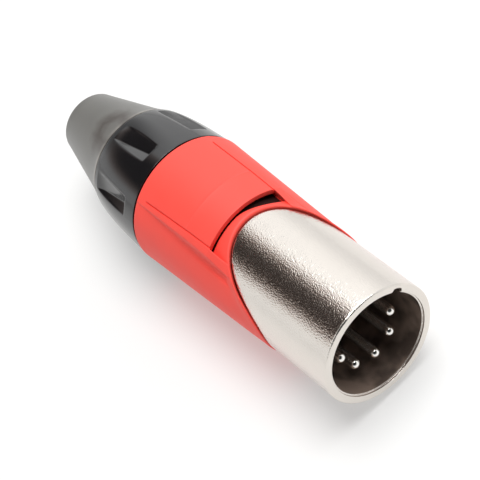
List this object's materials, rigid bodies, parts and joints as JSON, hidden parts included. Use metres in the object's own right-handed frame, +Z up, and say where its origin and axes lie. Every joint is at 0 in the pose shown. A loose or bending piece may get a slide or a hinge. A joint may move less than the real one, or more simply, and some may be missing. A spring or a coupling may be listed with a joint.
{
  "type": "xlr-style male cable connector",
  "caption": "Circular male cable connector: nickel shell round recessed pins, coloured sleeve with a raised tongue, scooped gland nut and tapered rubber boot.",
  "frame": {"origin": "on the surface that the connector lies on, below the middle of its box", "axes": "+Y along the axis from the mating socket to the cable end, +Z up through the raised tongue, +X to the right seen from the socket's end with the tongue up"},
  "size_m": [0.0216, 0.0716, 0.0219],
  "materials": {
    "nickel": "satin nickel plating on die-cast zinc",
    "red_sleeve": "smooth red moulding with a soft sheen",
    "insert": "dark moulded insulation",
    "pins": "silver-plated brass",
    "spring": "tinned bronze",
    "chuck": "natural acetal",
    "nut": "glossy black moulding",
    "boot": "matte grey rubber"
  },
  "bodies": {
    "root": {"front_shell": "nickel", "colour_sleeve": "red_sleeve", "contact_insert": "insert", "pin_1": "pins", "pin_2": "pins", "pin_3": "pins", "pin_4": "pins", "pin_5": "pins", "earth_spring": "spring", "cable_chuck": "chuck", "gland_nut": "nut", "cable_boot": "boot"}
  },
  "joints": []
}
